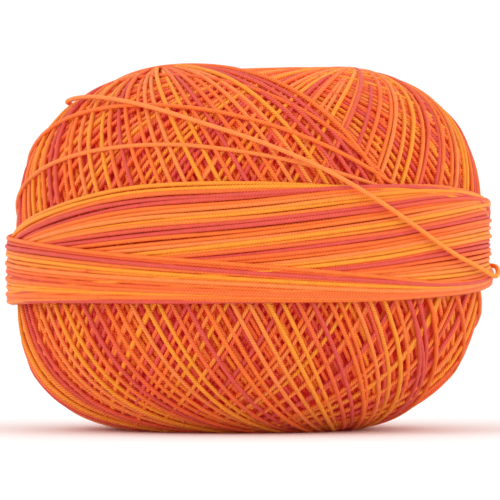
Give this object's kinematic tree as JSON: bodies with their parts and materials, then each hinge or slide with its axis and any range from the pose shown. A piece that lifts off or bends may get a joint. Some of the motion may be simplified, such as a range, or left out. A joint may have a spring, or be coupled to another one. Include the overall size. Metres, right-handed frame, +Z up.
{
  "type": "ball of crochet thread",
  "caption": "Oblate ball of fine cross-wound crochet cotton in blended oranges, with a belt of turns round its waist and a loose end across the front.",
  "frame": {"origin": "on the surface that the ball stands on, under the middle of the ball", "axes": "+Z up along the winding's axis, -Y to the front that the loose end crosses, +X to the right"},
  "size_m": [0.0498, 0.049, 0.0366],
  "materials": {
    "wound_cotton": "mercerised cotton thread, soft sheen, dyed in blended lengths of coral red, orange and gold",
    "loose_cotton": "mercerised cotton thread, soft sheen, light orange"
  },
  "bodies": {
    "root": {"wound_ball": "wound_cotton", "loose_end": "loose_cotton"}
  },
  "joints": []
}
